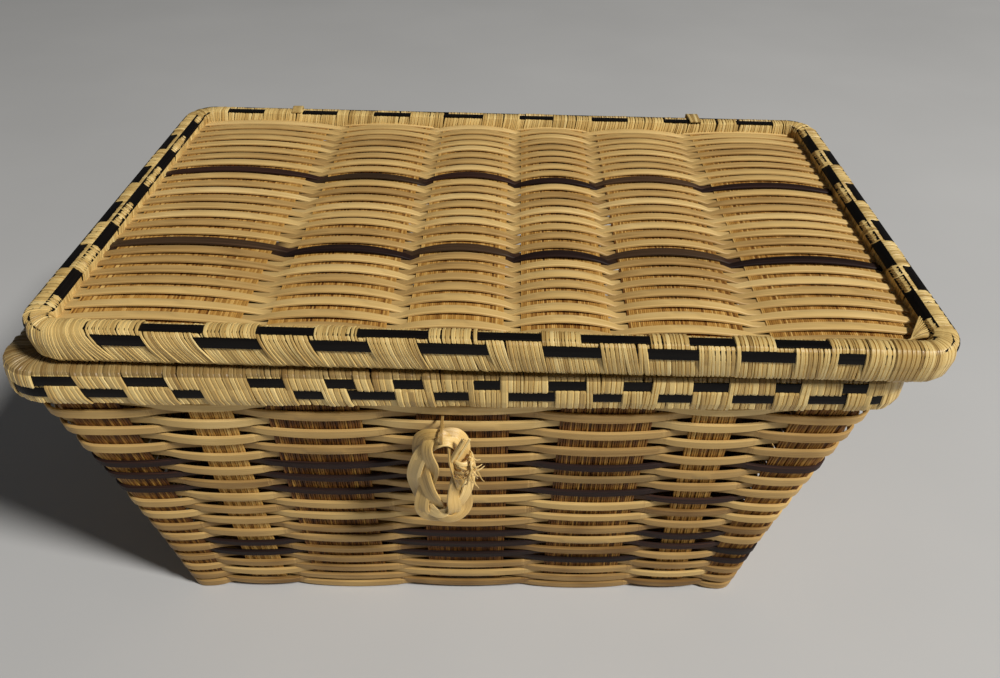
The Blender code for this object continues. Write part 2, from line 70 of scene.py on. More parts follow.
# Canes
WALL_ROWS = 28
ROWS_BELOW = 2  # rows that turn under the foot
LOWEST_ROW = -1.45  # they are drawn up to here
ROW_CROWDING = 0.1  # how much closer the rows lie at the foot than halfway up
CANE_WIDTH = 3.2 * MM
CANE_THICKNESS = 1.0 * MM
CANE_BOW = 1.05 * MM  # how far a cane passes outside or inside the middle of the weave
LONG_FLOAT = 20 * MM  # a longer stretch of cane has more points
LID_ROWS = 52
LID_CANE_WIDTH = 2.6 * MM
LID_CANE_THICKNESS = 0.8 * MM
LID_CANE_BOW = 1.15 * MM
LID_PILLOW = 1.7 * MM
BASE_ROWS = 33
BASE_EDGE = 3.4 * MM  # ends of the base's canes inside the walls' crowns
BASE_CANE_BOW = 1.0 * MM
BASE_CANE_THICKNESS = 0.85 * MM
BASE_PLACE = Matrix.Translation((0, 0, 1.55 * MM))

# Stakes: bundles of thin splints side by side
SPLINT_WIDTH = 0.64 * MM
SPLINT_THICKNESS = 0.7 * MM
LID_SPLINT_WIDTH = 0.5 * MM
LID_SPLINT_THICKNESS = 0.45 * MM
LID_STAKE_EDGE = 0.08  # share of a lid's column on each side of its stake
CORNER_SPLINTS = 10  # in each corner of the walls
CORNER_SPLINT_WIDTH = 1.25 * MM
CORNER_REACH = 2.5 * MM  # they go on this far past the round corner
FACE_FALL = -0.25  # the walls lean out, so their faces look down a little
# Each stake: its place and width at the foot, its place and width at the top, all in mm, and its tone
CROSSWISE_STAKES = (
    (-84, 9.5, -94.5, 15.5, 0.24),
    (-64.8, 11.4, -64, 11.4, 0.62),
    (-37.5, 24, -37.5, 24, 0.25),
    (1, 24, 1, 24, 0.14),
    (38.5, 24, 38.5, 24, 0.3),
    (68.5, 10, 66.5, 11.6, 0.62),
    (84, 9.5, 95.5, 15.5, 0.36),
)
LENGTHWISE_STAKES = (
    (-35.5, 11, -51.5, 17, 0.5),
    (-13.2, 23, -20, 30, 0.35),
    (13.2, 23, 20, 30, 0.6),
    (35.5, 11, 51.5, 17, 0.45),
)
CROSSWISE_LEVEL = 1.5 * MM
LENGTHWISE_LEVEL = 3.9 * MM

# Rims
RIM_HEIGHT = 12.3 * MM
RIM_OVERHANG = 3 * MM
RIM_WIDTH = 10 * MM
RIM_LENGTH = WALL_TOP_LENGTH + 2 * RIM_OVERHANG
RIM_DEPTH = WALL_TOP_DEPTH + 2 * RIM_OVERHANG
RIM_CORNER = TOP_CORNER + RIM_OVERHANG
RIM_TOP = WALL_HEIGHT + RIM_HEIGHT
LID_LENGTH = RIM_LENGTH
LID_DEPTH = RIM_DEPTH + 2.6 * MM
LID_CORNER = 10.5 * MM
LID_RIM_WIDTH = 7 * MM
LID_RIM_HEIGHT = 10.8 * MM
LID_BOTTOM = RIM_TOP + 0.3 * MM
LID_STRIPS_INWARD = (0, 3.5 * MM, 1.4 * MM, 3.5 * MM)  # front, right, back, left
LID_INSET = 4.5 * MM  # edge of the panel inside the rim
PANEL_LENGTH = LID_LENGTH - 2 * LID_INSET
PANEL_DEPTH = LID_DEPTH - 2 * LID_INSET
LID_PANEL = 6.2 * MM
LID_COLUMNS = (0.235, 0.16, 0.13, 0.12, 0.155, 0.2)
LID_MIDDLE = Vector((9.4 * MM, -0.6 * MM, LID_BOTTOM))
LID_TURN = math.radians(-1.5)
LID_PLACE = Matrix.Translation(LID_MIDDLE) @ Matrix.Rotation(LID_TURN, 4, "Z")
PANEL_PLACE = LID_PLACE @ Matrix.Translation((0, 0, LID_PANEL))
UPPER_STRIP = 8.6 * MM  # heights of the strips on the outside of the body's rim
LOWER_STRIP = 5.2 * MM
SHOULDER_STRIP = 8.1 * MM  # and on the outside of the lid's
INNER_STRIP = 2.6 * MM  # how far the lid's inner strip lies from its edge
RIM_POWER = 5  # of the section's outline: 2 makes an ellipse, more a squarer one
LID_RIM_POWER = 3.6
LID_SHADOW_SHARE = 0.84  # above this share of its height the body's rim gets a painted shadow of the lid
SECTION_PROBE = 0.2 * MM  # step along a rim's section that finds its direction

# Raffia
LID_FIBRE = 0.82 * MM
BODY_FIBRE = 1.15 * MM
FIBRE_DEPTH = 0.85 * MM  # underside of a fibre inside the rim's outline
FIBRE_CROWN = 0.36 * MM
FIBRE_SETTLING = 4 * MM  # a fibre that leaves a strip sinks back over this length
FIBRE_STEP = 2.5 * MM  # between its points, away from the strips
FIBRE_OVERLAP = 1.1  # width of a fibre as a share of the room that it takes up
SLANT_FADE = 10 * MM  # the slant of the fibres dies out over this length before a corner
# Slant of the fibres at the left and at the right of the front, how soon it gets there, and elsewhere
LID_SLANT = (6.5 * MM, 0.6 * MM, 1.15, 2 * MM)
BODY_SLANT = (5 * MM, 0.4 * MM, 1.6, 1.5 * MM)
STRIP_WIDTH = 2.8 * MM
STRIP_BORDER = 0.4 * MM  # a fibre bends within this width beside a strip
STRIP_THICKNESS = 0.4 * MM

# Hinge and closing loop
LOOP_AXIS = Vector((-4.2 * MM, -72.534 * MM, 92.1 * MM))
TIE_REACH = 72 * MM  # from the lid's middle
TIE_GAP = 0.65 * MM  # a tie's strands lie this far off the rims


class Strands:
    """Strands along paths. Each starts as a grid, which is bent round its path, and all make one piece."""

    def __init__(self):
        self.runs = []

    def add(self, path, out, width, thick, section, tone, dye=0.0, depth=0.0, closed=False, side=None):
        """out is the way a strand's face looks, section its outline in (across, out) shares of its size;
        depth drives its painted shade.
        """
        path = np.asarray(path, float)
        count = len(path)
        if closed:
            path = np.vstack((path, path[:1]))
        after, before = (path[1:2], path[-2:-1]) if closed else (path[-1:], path[:1])
        tangent = unit(np.vstack((path[1:], after)) - np.vstack((before, path[:-1])))
        out = stretched(out, count, closed, 3)
        out = unit(out - tangent * np.sum(out * tangent, axis=1, keepdims=True))
        side = np.cross(tangent, out) if side is None else stretched(side, count, closed, 3)
        width = stretched(width, count, closed)
        thick = stretched(thick, count, closed)
        outline = np.array(list(section) + [section[0]])
        points = path[:, None, :]
        points = points + side[:, None, :] * (outline[:, 0] * width[:, None])[:, :, None]
        points = points + out[:, None, :] * (outline[:, 1] * thick[:, None])[:, :, None]
        along = np.concatenate(([0], np.cumsum(np.linalg.norm(np.diff(path, axis=0), axis=1))))
        reach = np.linalg.norm(np.diff(outline * (width.mean(), thick.mean()), axis=0), axis=1)
        around = np.concatenate(([0], np.cumsum(reach)))
        shape = points.shape[:2]
        uv = np.dstack((np.broadcast_to(along[:, None], shape), np.broadcast_to(around[None, :], shape)))
        run = {"points": points, "uv": uv}
        for name, value in (("tone", tone), ("dye", dye), ("depth", depth)):
            run[name] = np.broadcast_to(stretched(value, count, closed)[:, None], shape)
        self.runs.append(run)

    def gathered(self, name):
        """These values at every point of every strand, in one list."""
        return np.concatenate([run[name].ravel() for run in self.runs]).astype(np.float32)

    def make(self, name, material, matrix=None):
        bm = bmesh.new()
        for run in self.runs:
            rows, columns = run["points"].shape[:2]
            bmesh.ops.create_grid(bm, x_segments=columns - 1, y_segments=rows - 1, size=1)
        mesh = bpy.data.meshes.new(name)
        bm.to_mesh(mesh)
        mesh.vertices.foreach_set("co", self.gathered("points"))
        corners = np.empty(len(mesh.loops), np.int32)
        mesh.loops.foreach_get("vertex_index", corners)
        uv = self.gathered("uv").reshape(-1, 2)[corners]
        mesh.uv_layers.new(name="fibre").data.foreach_set("uv", uv.ravel())
        for key in ("tone", "dye", "depth"):
            mesh.attributes.new(key, "FLOAT", "POINT").data.foreach_set("value", self.gathered(key))
        bm.clear()
        bm.from_mesh(mesh)
        bmesh.ops.remove_doubles(bm, verts=bm.verts, dist=WELD)
        bmesh.ops.holes_fill(bm, edges=[edge for edge in bm.edges if edge.is_boundary], sides=0)
        bmesh.ops.recalc_face_normals(bm, faces=bm.faces)
        if matrix is not None:
            bmesh.ops.transform(bm, matrix=matrix, verts=bm.verts)
        bm.to_mesh(mesh)
        bm.free()
        mesh.shade_smooth()
        mesh.set_sharp_from_angle(angle=EDGE_ANGLE)
        mesh.materials.append(material)
        return added(name, mesh)


def added(name, data):
    piece = bpy.data.objects.new(name, data)
    bpy.context.collection.objects.link(piece)
    return piece


def unit(vectors):
    return vectors / np.maximum(np.linalg.norm(vectors, axis=-1, keepdims=True), 1e-12)


def stretched(value, count, closed, size=0):
    """One value for each point of a path, also for the point that closes a loop."""
    value = np.asarray(value, float)
    if value.ndim == (1 if size else 0):
        value = np.broadcast_to(value, (count, size) if size else (count,))
    return np.concatenate((value, value[:1])) if closed else value


def flat_section(chamfer_across, chamfer_out):
    """A flat cane's outline with its edges taken off."""
    a, o = 0.5 - chamfer_across, 0.5 - chamfer_out
    return ((-a, -0.5), (-0.5, -o), (-0.5, o), (-a, 0.5), (a, 0.5), (0.5, o), (0.5, -o), (a, -0.5))


CANE_SECTION = flat_section(0.1, 0.26)
STRAW_SECTION = (
    (-0.5, -0.4), (-0.48, 0.3), (-0.26, 0.5), (-0.22, 0.34), (0.04, 0.5), (0.08, 0.34), (0.32, 0.5),
    (0.48, 0.25), (0.5, -0.4),
)
FIBRE_SECTION = ((-0.5, 0), (-0.3, 0.85), (0.28, 1), (0.5, 0))
SPLINT_SECTION = ((-0.5, 0), (-0.3, 0.5), (0.3, 0.5), (0.5, 0), (0.3, -0.5), (-0.3, -0.5))


def place(piece, body, slot, *nodes):
    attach(piece, body)
    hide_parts(*nodes)


def rounded(quarter, along, length, depth, radius):
    """Points and outward directions on one side of a rectangle with round corners, from corner to corner."""
    run, reach = (depth, length) if quarter % 2 else (length, depth)
    straight = run / 2 - radius
    side = np.sign(along)
    angle = np.maximum(np.abs(along) - straight, 0) / radius * math.pi / 4
    x = np.clip(along, -straight, straight) + side * radius * np.sin(angle)
    y = -reach / 2 + radius * (1 - np.cos(angle))
    nx, ny = side * np.sin(angle), -np.cos(angle)
    for _ in range(quarter):
        x, y = -y, x
        nx, ny = -ny, nx
    return np.stack((x, y), axis=-1), np.stack((nx, ny), axis=-1)


def round_wall(position, length, depth, radius):
    """Points and outward directions at these positions round a wall, counted from the middle of its front."""
    straights = (length - 2 * radius, depth - 2 * radius)
    arc = math.pi / 2 * radius
    position = np.mod(np.asarray(position, float) + straights[0] / 2, 2 * sum(straights) + 4 * arc)
    points, normals = np.zeros((len(position), 2)), np.zeros((len(position), 2))
    start = 0
    for quarter in range(4):
        run, reach = straights[quarter % 2], straights[1 - quarter % 2]
        here = (position >= start) & (position <= start + run + arc)
        passed = position[here] - start
        angle = np.maximum(passed - run, 0) / radius
        nx, ny = np.sin(angle), -np.cos(angle)
        x, y = np.minimum(passed, run) - run / 2 + radius * nx, radius * ny - reach / 2
        for _ in range(quarter):
            x, y, nx, ny = -y, x, -ny, nx
        points[here], normals[here] = np.column_stack((x, y)), np.column_stack((nx, ny))
        start += run + arc
    return points, normals


def between(low, high, share):
    return low + (high - low) * share


def middle_size(share):
    """Length, depth and corner radius of the middle of the weave at this share of the walls' height."""
    bend = END_WALL_BOW * math.sin(math.pi * min(max(share, 0), 1))
    return (
        between(BASE_LENGTH, WALL_TOP_LENGTH, share) - 2 * (WEAVE_MIDDLE + bend),
        between(BASE_DEPTH, WALL_TOP_DEPTH, share) - 2 * WEAVE_MIDDLE,
        between(FOOT_CORNER, TOP_CORNER, share) - WEAVE_MIDDLE,
    )


# Dark canes of the walls: row, first and last column; columns run round from the left end of the front
DARK_CANES = (
    (20, 0, 9), (20, 12, 21),
    (18, 0, 2), (18, 8, 21),
    (16, 0, 4), (16, 7, 14), (16, 17, 21),
    (15, 5, 5),
    (9, 3, 5), (9, 10, 13),
    (7, 1, 5), (7, 8, 20),
    (5, 1, 3), (5, 9, 21),
    (6, 6, 6),
    (4, 4, 6),
)
BROWN_CANES = ((18, 4, 4), (20, 10, 11), (7, 6, 7))


def bow(share):
    return np.sin(math.pi * np.clip(share, 0, 1)) ** 0.7


def crossings(length, depth, radius):
    """Positions round a wall where its canes cross; the floats at the ends turn the corners."""
    corner = (length / 2 - radius) + math.pi / 2 * radius
    half = 2 * corner + depth - 2 * radius
    front = [BASE_LENGTH * (share - 0.5) for share in np.cumsum(FRONT_COLUMNS)[:-1]]
    side = [depth * share for share in np.cumsum(SIDE_COLUMNS)[:-1]]
    right = [corner - radius + place_on for place_on in side]
    back = [half - place_on for place_on in reversed(front)]
    left = [half + place_on for place_on in right]
    return [-corner, *front, corner, *right, half - corner, *back, half + corner, *left, 2 * half - corner]


def dye_of(row, column):
    for canes, dye in ((BROWN_CANES, 0.5), (DARK_CANES, 1.0)):
        if any(row == r and first <= column <= last for r, first, last in canes):
            return dye
    return 0.0


def wall_canes():
    rng = np.random.default_rng(5)
    canes = Strands()
    spread = (WALL_TOP_LENGTH - BASE_LENGTH + WALL_TOP_DEPTH - BASE_DEPTH) / 4
    lean = math.atan2(spread, WALL_HEIGHT - WALL_FOOT)
    up, fall = math.cos(lean), math.sin(lean)
    for row in range(-ROWS_BELOW, WALL_ROWS):
        share = (max(row, LOWEST_ROW) + 0.5 + rng.normal(0, 0.07)) / WALL_ROWS
        height = share - ROW_CROWDING * share * (1 - share)
        size = middle_size(height)
        level = between(WALL_FOOT, WALL_HEIGHT, height)
        # the lower rows are darker
        tone = rng.uniform(-0.35, 0.2) + 0.6 * share
        points, faces, tones, dyes, depths, widths = [], [], [], [], [], []
        places = crossings(*size)
        columns = len(places) - 1
        for column in range(columns):
            start, run = places[column], places[column + 1] - places[column]
            steps = 16 if run > LONG_FLOAT else 12
            part = np.arange(steps) / steps
            flat, normal = round_wall(start + run * part, *size)
            outside = (row + column) % 2 == 0
            outward = 1 if outside else -1
            swing = outward * CANE_BOW * bow(part)
            sag = rng.normal(-0.25 if outside else 0.1, 0.2) * MM * np.sin(math.pi * part)
            face = np.column_stack((normal * up, np.full(steps, -fall)))
            rise = np.column_stack((normal * fall, np.full(steps, up)))
            middle = np.column_stack((flat, np.full(steps, level)))
            points.append(middle + face * swing[:, None] + rise * sag[:, None])
            faces.append(face)
            dye = np.full(steps, dye_of(row, column))
            if not outside:
                dye[part < 0.3] = dye_of(row, (column - 1) % columns)
                dye[part > 0.7] = dye_of(row, (column + 1) % columns)
            dyes.append(dye)
            tone = np.clip(tone + rng.normal(0, 0.08), -0.3, 1)
            tones.append(np.full(steps, tone))
            # painted shade where the cane passes inside, under the stakes
            depths.append(0.5 - 0.5 * outward * bow(part))
            fullness = 0.86 + rng.normal(0.2, 0.05) * bow(part)
            widths.append(CANE_WIDTH * fullness * (1 - 0.2 * dye))
        canes.add(
            np.vstack(points), np.vstack(faces), np.concatenate(widths),
            CANE_THICKNESS * rng.uniform(0.9, 1.1), CANE_SECTION,
            np.concatenate(tones), np.concatenate(dyes), np.concatenate(depths), closed=True,
        )
    return canes


# Canes of the lid and of the base run from left to right; a dark row has a first and a last dark column
LID_DARK_ROWS = {15: (0, 5), 16: (0, 5), 17: (0, 0), 33: (0, 5), 34: (0, 5)}
LID_BROWN_FLOATS = ((16, 0), (16, 2), (16, 4), (17, 0), (33, 1), (34, 4))  # row and column
BROWN_DYE = 0.95


def pillowed(height, part, y, depth):
    """Rise of a panel that swells between the crossings of its canes, but not at its front and back."""
    edge = 1 - min(abs(y) / (depth / 2), 1) ** 8
    return height * edge * np.sin(math.pi * part) ** 0.8


def woven_panel(seed, rows, length, depth, columns, bow_height, width, thick, pillow, dark_rows):
    """Rows of canes over a flat panel whose middle is at height 0."""
    rng = np.random.default_rng(seed)
    canes = Strands()
    pitch = depth / rows
    for row in range(rows):
        y = -depth / 2 + pitch * (row + 0.5) + rng.normal(0, 0.04) * pitch
        tone = rng.uniform(0.05, 0.95)
        points, dyes, depths = [], [], []
        start = -length / 2
        for column, share in enumerate(columns):
            steps = 14 if share > 0.11 else 10
            last = column == len(columns) - 1
            part = np.arange(steps + (1 if last else 0)) / steps
            outward = 1 if (row + column) % 2 == 0 else -1
            swing = outward * bow_height * bow(part) + pillowed(pillow, part, y, depth)
            sway = rng.normal(0, 0.12 * MM) * np.sin(math.pi * part)
            points.append(np.column_stack((start + length * share * part, y + sway, swing)))
            first_dark, last_dark = dark_rows.get(row, (1, 0))
            dye = BROWN_DYE if (row, column) in LID_BROWN_FLOATS else 1.0
            dyes.append(np.full(len(part), dye if first_dark <= column <= last_dark else 0.0))
            # painted shade where the cane passes under the stakes
            depths.append(0.5 - 0.5 * outward * bow(part))
            start += length * share
        dye = np.concatenate(dyes)
        fullness = 0.82 + 0.4 * np.abs(1 - 2 * np.concatenate(depths))
        wide = width * fullness * rng.uniform(0.93, 1.07) * (1 + 0.1 * dye)
        canes.add(np.vstack(points), (0, 0, 1), wide, thick, CANE_SECTION, tone, dye, np.concatenate(depths))
    return canes


def lid_canes():
    return woven_panel(
        8, LID_ROWS, PANEL_LENGTH, PANEL_DEPTH, LID_COLUMNS, LID_CANE_BOW, LID_CANE_WIDTH,
        LID_CANE_THICKNESS, LID_PILLOW, LID_DARK_ROWS,
    )


def base_canes():
    return woven_panel(
        9, BASE_ROWS, BASE_LENGTH - 2 * BASE_EDGE, BASE_DEPTH - 2 * BASE_EDGE, FRONT_COLUMNS,
        BASE_CANE_BOW, LID_CANE_WIDTH, BASE_CANE_THICKNESS, 0, {},
    )


def stake_route(stake, along_side, level, offset_share):
    """Half the way of one splint, from a wall's top to the middle of the base: (across, out, height)."""
    route = []
    foot, foot_width, top, top_width, _ = stake
    for share in (1.0, 0.98, 0.75, 0.5, 0.25, 0.04):
        reach = middle_size(share)[0 if along_side else 1]
        across = (between(foot, top, share) + offset_share * between(foot_width, top_width, share)) * MM
        z = WALL_TOP if share == 1 else between(WALL_FOOT, WALL_HEIGHT, share)
        route.append((across, reach / 2, z))
    across, out, z = route[-1]
    radius = min(out, z - level)
    for angle in (30, 60, 90):
        turn = math.radians(angle)
        route.append((across, out - radius * (1 - math.cos(turn)), z - radius * math.sin(turn)))
    route.append((across, out / 3, level))
    return route


def stakes(placed, along_side, level, seed):
    """Splints of every stake that comes down one wall, crosses the base and climbs the other wall."""
    rng = np.random.default_rng(seed)
    splints = Strands()
    for stake in placed:
        foot_width, top_width, tone = stake[1] * MM, stake[3] * MM, stake[4]
        count = round((foot_width + top_width) / 2 / SPLINT_WIDTH)
        for number in range(count):
            offset = (number + 0.5) / count - 0.5 + rng.normal(0, 0.1) / count
            route = stake_route(stake, along_side, level, offset)
            lift = rng.normal(0, 0.06 * MM)
            path = [(x, -y - lift, z) for x, y, z in route] + [(x, y + lift, z) for x, y, z in route[::-1]]
            normals = []
            for x, y, z in path:
                low = z < level + 0.1 * MM
                normals.append((0, 0, -1) if low else (0, math.copysign(1, y), FACE_FALL))
            if along_side:
                path = [(-y, x, z) for x, y, z in path]
                normals = [(-y, x, z) for x, y, z in normals]
            shade = np.clip(tone + rng.normal(0, 0.16), 0, 1)
            slope = (np.array([p[2] for p in path]) - WALL_FOOT) / (WALL_HEIGHT - WALL_FOOT)
            wide = between(foot_width, top_width, np.clip(slope, 0, 1)) / count * rng.uniform(0.95, 1.12)
            splints.add(path, normals, wide, SPLINT_THICKNESS * rng.uniform(0.85, 1.1), SPLINT_SECTION, shade)
    return splints


def add_corner_splints(splints):
    """Short splints that stand in the four corners, between the outermost stakes of two walls."""
    rng = np.random.default_rng(12)
    for corner in range(4):
        for number in range(CORNER_SPLINTS):
            path, faces = [], []
            for height in np.linspace(0.01, 1.0, 5):
                length, depth, radius = middle_size(height)
                turn = math.pi / 2 * radius
                end = length / 2 - radius + turn
                half = 2 * end + depth - 2 * radius
                side = -1 if corner % 2 else 1
                back = (turn + CORNER_REACH) * (number + 0.3) / CORNER_SPLINTS
                spot = (half if corner > 1 else 0) + side * (end - back)
                flat, normal = round_wall([spot], length, depth, radius)
                top = WALL_TOP if height == 1 else WALL_HEIGHT
                path.append((*flat[0], between(WALL_FOOT, top, height)))
                faces.append((*normal[0], FACE_FALL))
            shade = np.clip(rng.normal(0.45, 0.16), 0, 1)
            splints.add(path, faces, CORNER_SPLINT_WIDTH, SPLINT_THICKNESS, SPLINT_SECTION, shade)


def lid_splints():
    rng = np.random.default_rng(21)
    splints = Strands()
    start = -PANEL_LENGTH / 2
    for share in LID_COLUMNS:
        wide = PANEL_LENGTH * share
        stake = 1 - 2 * LID_STAKE_EDGE
        count = round(wide * stake / LID_SPLINT_WIDTH)
        for number in range(count):
            part = LID_STAKE_EDGE + stake * (number + 0.5) / count
            x = start + wide * part
            path = []
            for y in np.linspace(-PANEL_DEPTH / 2, PANEL_DEPTH / 2, 13):
                path.append((x, y, pillowed(LID_PILLOW, part, y, PANEL_DEPTH)))
            # the splints' own amber tone, kept darker partly as painted shade in the slots under the canes
            shade = np.clip(rng.normal(0.6, 0.18), 0, 1)
            across = LID_SPLINT_WIDTH * rng.uniform(1, 1.3)
            splints.add(path, (0, 0, 1), across, LID_SPLINT_THICKNESS, SPLINT_SECTION, shade)
        start += wide
    return splints


# Rims: a round-edged section that raffia is wound round, with two black strips laid on it
class Rim:
    """The way round a rim's section, counted in lengths from its outer middle, and along the rim."""

    def __init__(self, length, depth, corner, width, height, bottom, power, inward):
        self.size = (length, depth, corner)
        self.inward = inward
        self.width = width
        self.height = height
        self.bottom = bottom
        angle = np.linspace(0, 2 * math.pi, 721)
        x, y = np.cos(angle), np.sin(angle)
        self.inset = width / 2 * (1 - np.sign(x) * np.abs(x) ** (2 / power))
        self.level = height / 2 * (1 + np.sign(y) * np.abs(y) ** (2 / power))
        steps = np.hypot(np.diff(self.inset), np.diff(self.level))
        self.reach = np.concatenate(([0], np.cumsum(steps)))
        self.around = self.reach[-1]

    def spot(self, reach):
        """Inset and height at these lengths round the section."""
        reach = reach % self.around
        return np.interp(reach, self.reach, self.inset), np.interp(reach, self.reach, self.level)

    def at(self, reach):
        """Inset, height and outward direction at these lengths round the section."""
        reach = np.asarray(reach, float)
        inset, level = self.spot(reach)
        ahead, behind = self.spot(reach + SECTION_PROBE), self.spot(reach - SECTION_PROBE)
        run, rise = ahead[0] - behind[0], ahead[1] - behind[1]
        size = np.hypot(run, rise)
        return inset, level, -rise / size, run / size

    def point(self, quarter, along, reach, lift):
        """Places, outward directions and the way along the rim for points lifted off the section."""
        inset, level, out_inset, out_level = self.at(reach)
        inset, level = inset + out_inset * lift, level + out_level * lift
        flat, normal = rounded(quarter, along, *self.size)
        places = np.column_stack((flat - normal * inset[:, None], self.bottom + level))
        onward = np.column_stack((-normal[:, 1], normal[:, 0], np.zeros(len(normal))))
        return places, np.column_stack((normal * -out_inset[:, None], out_level)), onward

    def apart(self, reach, other):
        """How far these lengths round the section lie from another one."""
        return np.abs((reach - other + self.around / 2) % self.around - self.around / 2)

    def outer(self, level):
        """Length round the section to this height on the outer side."""
        rise = level - self.height / 2
        first = np.where((self.inset < self.width / 2) & (self.reach < self.around / 2))[0]
        reach = float(np.interp(abs(rise), self.level[first] - self.height / 2, self.reach[first]))
        return reach if rise > 0 else self.around - reach

    def top(self, inset):
        """Length round the section to this inset on the top."""
        over = (self.level > self.height / 2) & (self.inset > 0.1 * MM)
        upper = np.where(over & (self.reach < self.around / 2))[0]
        return float(np.interp(inset, self.inset[upper], self.reach[upper]))


def wraps(rim, strips, windows, slant, fibre, shade, seed):
    """Raffia fibres wound side by side round the rim, over or under each of the two strips."""
    rng = np.random.default_rng(seed)
    raffia = Strands()
    length, depth, corner = rim.size
    edge = STRIP_WIDTH / 2
    near_strips = (-edge - STRIP_BORDER, -edge, 0, edge, edge + STRIP_BORDER)
    lean = raised = 0
    for quarter in range(4):
        places = [(strip_place + rim.inward[quarter]) % rim.around for strip_place in strips]
        steps = [(centre + step) % rim.around for centre in places for step in near_strips]
        for free in np.arange(0, rim.around, FIBRE_STEP):
            if all(rim.apart(free, centre) > edge + 1 * MM for centre in places):
                steps.append(free)
        reach = np.array(sorted(steps))
        inset, level, _, _ = rim.at(reach)
        half_rise = level / rim.height - 0.5
        strip_rise = rim.at(places)[1] / rim.height - 0.5
        run = depth if quarter % 2 else length
        along = -run / 2
        while along < run / 2:
            in_corner = abs(along) > run / 2 - corner
            wide = fibre * rng.uniform(0.55, 1.6)
            apart = 0
            if rng.uniform() < 0.3:
                lean = rng.normal(0, 0.4 * MM)
                raised = rng.normal(0, 0.05 * MM)
                apart = rng.uniform(0, 0.12) * MM
            centre = along + apart + wide / 2
            fade = min(1.0, max(0.0, (run / 2 - corner - abs(centre)) / SLANT_FADE))
            tilt = (slant_at(slant, quarter, centre / run) + lean) * fade
            over, under = np.zeros(len(reach)), np.zeros(len(reach), bool)
            for strip_place, rise, open_spans in zip(places, strip_rise, windows):
                beyond = np.maximum(rim.apart(reach, strip_place) - edge, 0)
                if passes_over(open_spans, quarter, centre - tilt * rise, run):
                    over = np.maximum(over, 1 - beyond / FIBRE_SETTLING)
                else:
                    under = under | (beyond < 0.1 * MM)
            lift = np.where(under, 0, over) * (FIBRE_CROWN + STRIP_THICKNESS) - FIBRE_DEPTH
            lift = lift + raised + rng.normal(0, 0.02 * MM)
            points, faces, onward = rim.point(quarter, centre - tilt * half_rise, reach, lift)
            spread = wide * FIBRE_OVERLAP
            if in_corner:
                narrower = np.clip((corner - inset) / corner, 0.35, 1)
                spread = spread * narrower * math.pi / 4 * FIBRE_OVERLAP
            crown, tone = FIBRE_CROWN * rng.uniform(0.8, 1.2), rng.uniform(0.1, 0.9)
            # depth paints the lid's shadow on the top of the body's rim: shade is 1 for the body's rim, 0 for
            # the lid's
            raffia.add(
                points, faces, spread, crown, FIBRE_SECTION, tone,
                depth=shade * (level > LID_SHADOW_SHARE * rim.height), closed=True, side=onward,
            )
            along += apart + wide
    return raffia


def strip(rim, reach):
    """A flat strip laid once round the rim, over the wraps that pass under it."""
    band = Strands()
    length, depth, corner = rim.size
    points, faces = [], []
    for quarter in range(4):
        run = depth if quarter % 2 else length
        straight = run / 2 - corner
        along = np.concatenate((
            np.linspace(-run / 2, -straight, 6)[:-1], np.linspace(-straight, straight, 24),
            np.linspace(straight, run / 2, 6)[1:-1],
        ))
        lift = -FIBRE_DEPTH + FIBRE_CROWN + STRIP_THICKNESS / 2
        into_corner = np.clip((np.abs(along) - straight) / corner, 0, 1) / 2
        beyond = np.where(along < 0, rim.inward[(quarter - 1) % 4], rim.inward[(quarter + 1) % 4])
        inward = rim.inward[quarter] * (1 - into_corner) + beyond * into_corner
        place_at, face, _ = rim.point(quarter, along, reach + inward, lift)
        points.append(place_at)
        faces.append(face)
    section = flat_section(0.1, 0.25)
    band.add(np.vstack(points), np.vstack(faces), STRIP_WIDTH, STRIP_THICKNESS, section, 0.5, closed=True)
    return band


# Where a strip shows along the front, in mm from the rim's middle; the other sides have blocks of one length
LID_OUTER_WINDOWS = (
    (-93.3, -81.5), (-69, -54.1), (-41.6, -28.4), (-16.2, -0.2), (12.7, 26.6), (37.8, 49.5), (59.4, 71.8),
    (81.9, 87.9),
)
LID_INNER_WINDOWS = (
    (-82.7, -67.3), (-55, -42.1), (-31, -14.7), (-3.1, 12.4), (21.8, 37.6), (47, 57.8), (67.6, 80.1),
)
UPPER_WINDOWS = (
    (-104, -92.7), (-81.1, -70.9), (-51.1, -41.8), (-32.6, -25.8), (-15.8, -8), (3.2, 11.3), (22.1, 31.2),
    (40.5, 47.2), (57.2, 66.6), (77.7, 84.9), (95.3, 100.7),
)
LOWER_WINDOWS = (
    (-114, -101.6), (-91.5, -80.8), (-69.7, -63.1), (-39.8, -32.9), (-27.2, -15.6), (-5.7, 3.2), (12.9, 23.3),
    (33, 40.5), (49.2, 58.5), (68, 77.7), (87.7, 96.5), (102, 107.1),
)
CORNER_WRAP = 15 * MM
SIDE_BLOCK = 12.8 * MM


def passes_over(windows, quarter, along, run):
    """Whether a fibre lies over this strip here. The corners are all raffia; the strips show by turns."""
    if quarter == 0:
        return not any(first * MM < along < last * MM for first, last in windows)
    room = run - 2 * CORNER_WRAP
    if abs(along) > room / 2:
        return True
    blocks = 2 * round(room / SIDE_BLOCK / 2 - 0.5) + 1
    number = math.floor((along / room + 0.5) * blocks)
    shows_first = windows in (LID_INNER_WINDOWS, UPPER_WINDOWS)
    return (number % 2 == 0) != shows_first


def slant_at(slant, quarter, share):
    """How far a fibre slants along the rim over the rim's height, share being its place from -0.5 to 0.5."""
    left, right, sooner, elsewhere = slant
    return between(left, right, min(1, (share + 0.5) * sooner)) if quarter == 0 else elsewhere


